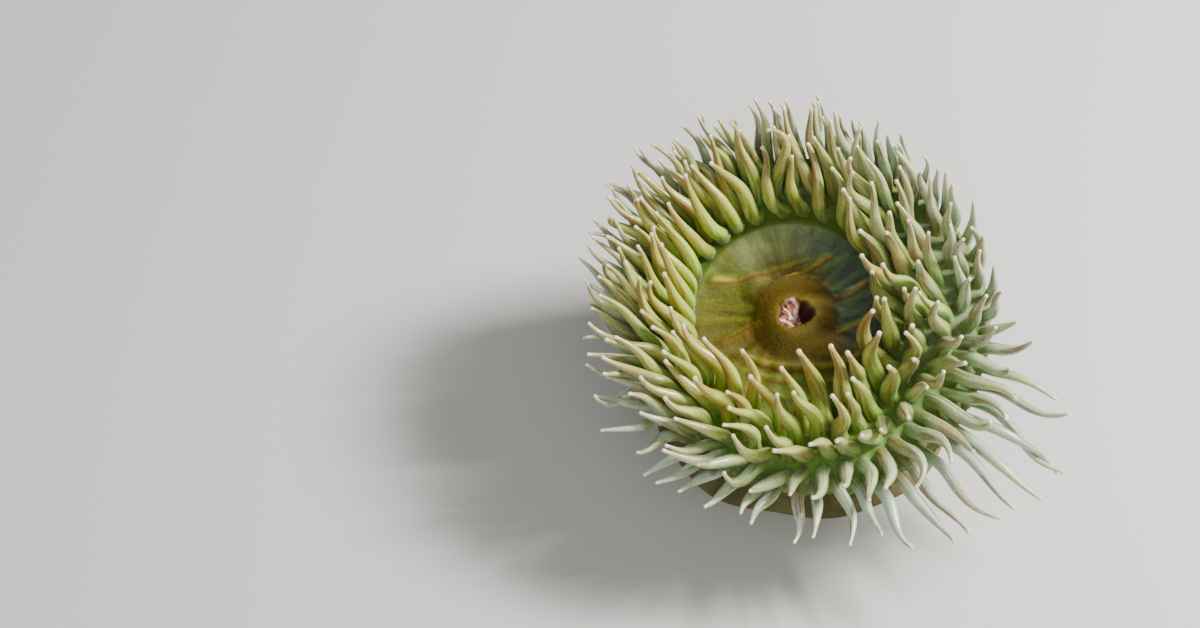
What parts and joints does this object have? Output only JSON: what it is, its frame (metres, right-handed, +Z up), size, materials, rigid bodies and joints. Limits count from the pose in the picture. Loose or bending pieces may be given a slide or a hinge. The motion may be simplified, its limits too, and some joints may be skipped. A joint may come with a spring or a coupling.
{
  "type": "giant green anemone",
  "caption": "Sea anemone standing open on a broad foot: a warty column, an oral disc with a raised mouth, and a dense crown of soft tapered tentacles.",
  "frame": {"origin": "middle of the pedal disc's flat underside, on the floor", "axes": "+Z up from the foot through the column; +X to the right of the picture; -Y towards the camera, the way the crown leans"},
  "size_m": [0.1716, 0.1599, 0.104],
  "materials": {
    "foot_skin": "matt wet flesh",
    "column_skin": "matt wet flesh with warts",
    "disc_skin": "smooth wet flesh",
    "mouth_skin": "smooth wet flesh",
    "tentacle_skin": "smooth translucent wet flesh"
  },
  "bodies": {
    "root": {"pedal_disc": "foot_skin", "column": "column_skin", "oral_disc": "disc_skin", "mouth": "mouth_skin", "tentacles_right": "tentacle_skin", "tentacles_back_right": "tentacle_skin", "tentacles_back": "tentacle_skin", "tentacles_back_left": "tentacle_skin", "tentacles_left": "tentacle_skin", "tentacles_front_left": "tentacle_skin", "tentacles_front": "tentacle_skin", "tentacles_front_right": "tentacle_skin"}
  },
  "joints": []
}
